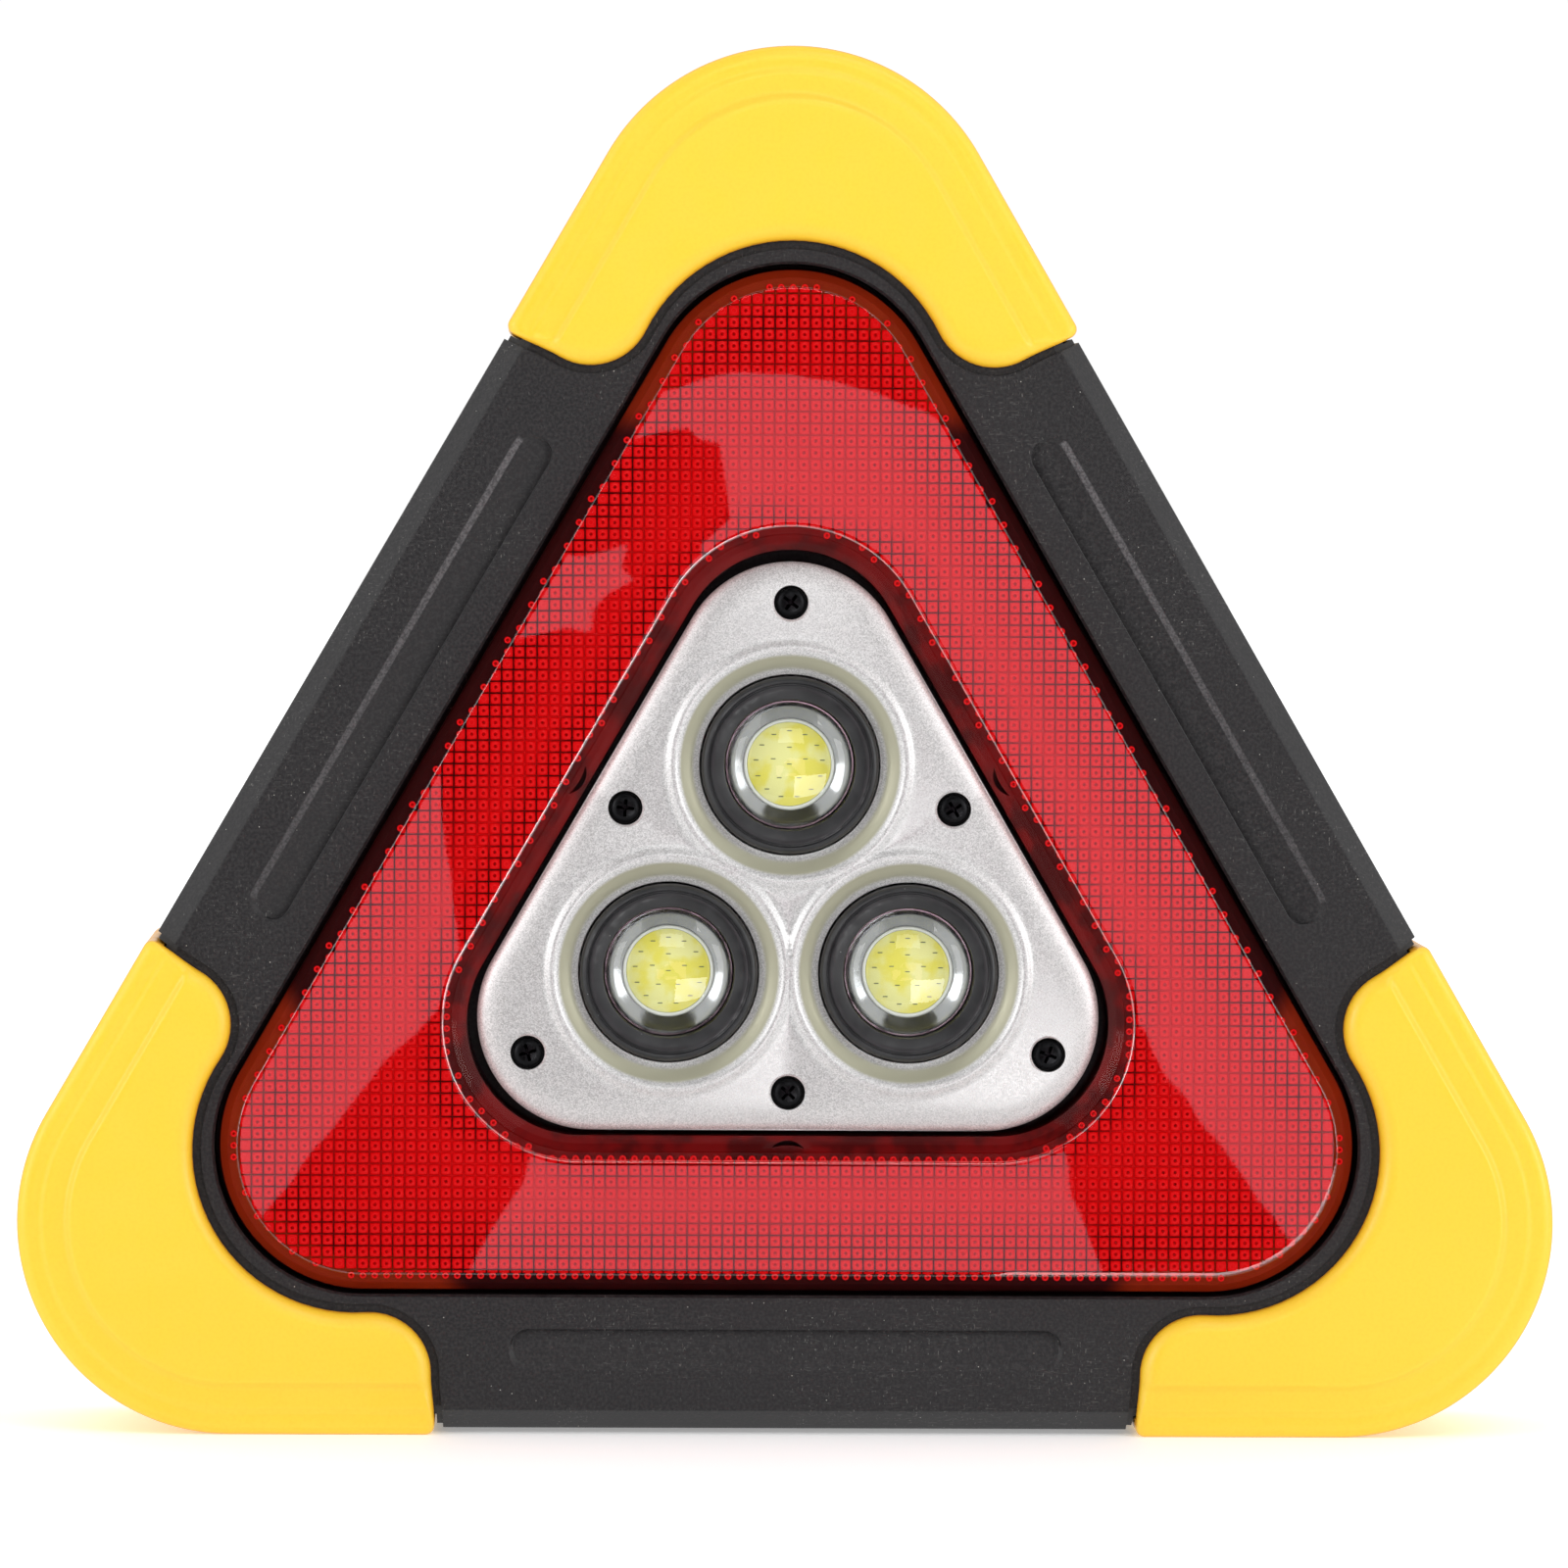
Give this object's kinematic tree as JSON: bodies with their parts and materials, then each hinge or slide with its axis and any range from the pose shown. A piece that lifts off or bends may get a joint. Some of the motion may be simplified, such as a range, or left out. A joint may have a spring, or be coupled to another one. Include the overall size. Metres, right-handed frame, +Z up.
{
  "type": "led warning triangle",
  "caption": "Triangular roadside hazard light with a red prismatic ring, yellow corner guards, a silver centre plate with round work lamps and a folding stand that is also the carrying handle.",
  "frame": {"origin": "middle of the base, on the surface that the two lower guards stand on, halfway through the depth with the stand folded", "axes": "+X to the right as the lens is looked at, -Y out of the lens, +Z up towards the top corner"},
  "size_m": [0.2, 0.043, 0.1807],
  "materials": {
    "black_plastic": "satin, finely grained moulded ABS",
    "yellow_plastic": "satin moulded plastic",
    "red_lens": "gloss",
    "white_board": "satin",
    "phosphor": "satin",
    "silver_paint": "satin metallic paint",
    "black_screw": "satin",
    "gloss_black": "gloss",
    "clear_lens": "polished",
    "green_board": "satin",
    "plated_steel": "satin",
    "battery_sleeve": "gloss",
    "black_rubber": "matte",
    "red_wire": "satin",
    "black_wire": "satin"
  },
  "bodies": {
    "housing": {"front_frame": "black_plastic", "rear_cover": "black_plastic", "corner_guard_top": "yellow_plastic", "corner_guard_left": "yellow_plastic", "corner_guard_right": "yellow_plastic", "red_lens": "red_lens", "warning_board": "white_board", "warning_led_1": "phosphor", "warning_led_2": "phosphor", "warning_led_3": "phosphor", "warning_led_4": "phosphor", "warning_led_5": "phosphor", "warning_led_6": "phosphor", "warning_led_7": "phosphor", "warning_led_8": "phosphor", "warning_led_9": "phosphor", "reflector_bezel": "silver_paint", "bezel_screw_1": "black_screw", "bezel_screw_2": "black_screw", "bezel_screw_3": "black_screw", "bezel_screw_4": "black_screw", "bezel_screw_5": "black_screw", "bezel_screw_6": "black_screw", "lens_ring_1": "gloss_black", "lens_ring_2": "gloss_black", "lens_ring_3": "gloss_black", "cob_lens_1": "clear_lens", "cob_lens_2": "clear_lens", "cob_lens_3": "clear_lens", "cob_led_1": "phosphor", "cob_led_2": "phosphor", "cob_led_3": "phosphor", "led_board": "white_board", "driver_board": "green_board", "tact_switch": "plated_steel", "usb_socket": "plated_steel", "battery_cell": "battery_sleeve", "battery_spring": "plated_steel", "battery_contact": "plated_steel", "rear_screw_1": "plated_steel", "rear_screw_2": "plated_steel", "rear_screw_3": "plated_steel", "rear_screw_4": "plated_steel", "rear_screw_5": "plated_steel", "rear_screw_6": "plated_steel", "battery_lead_positive": "red_wire", "battery_lead_negative": "black_wire", "led_lead": "black_wire", "warning_lead": "black_wire", "pivot_pin_left": "plated_steel", "pivot_pin_right": "plated_steel"},
    "stand": {"stand_handle": "black_plastic", "handle_grip": "black_rubber"},
    "battery_door": {"battery_door": "black_plastic"},
    "mode_button": {"mode_button": "black_rubber"},
    "usb_flap": {"usb_flap": "black_rubber"}
  },
  "joints": [
    {"name": "stand_swing", "type": "hinge", "parent": "housing", "child": "stand", "pos_m": [0, 0.0182, 0.115], "axis": [1, 0, 0], "range_deg": [0, 180]},
    {"name": "door_tilt", "type": "hinge", "parent": "housing", "child": "battery_door", "pos_m": [0, 0.0145, 0.0338], "axis": [-1, 0, 0], "range_deg": [0, 70]},
    {"name": "button_press", "type": "slide", "parent": "housing", "child": "mode_button", "axis": [0, -1, 0], "range_m": [0, 0.0008], "stiffness_N_per_m": 600},
    {"name": "flap_open", "type": "hinge", "parent": "housing", "child": "usb_flap", "pos_m": [0, 0.0148, 0.07575], "axis": [-1, 0, 0], "range_deg": [0, 110]}
  ]
}
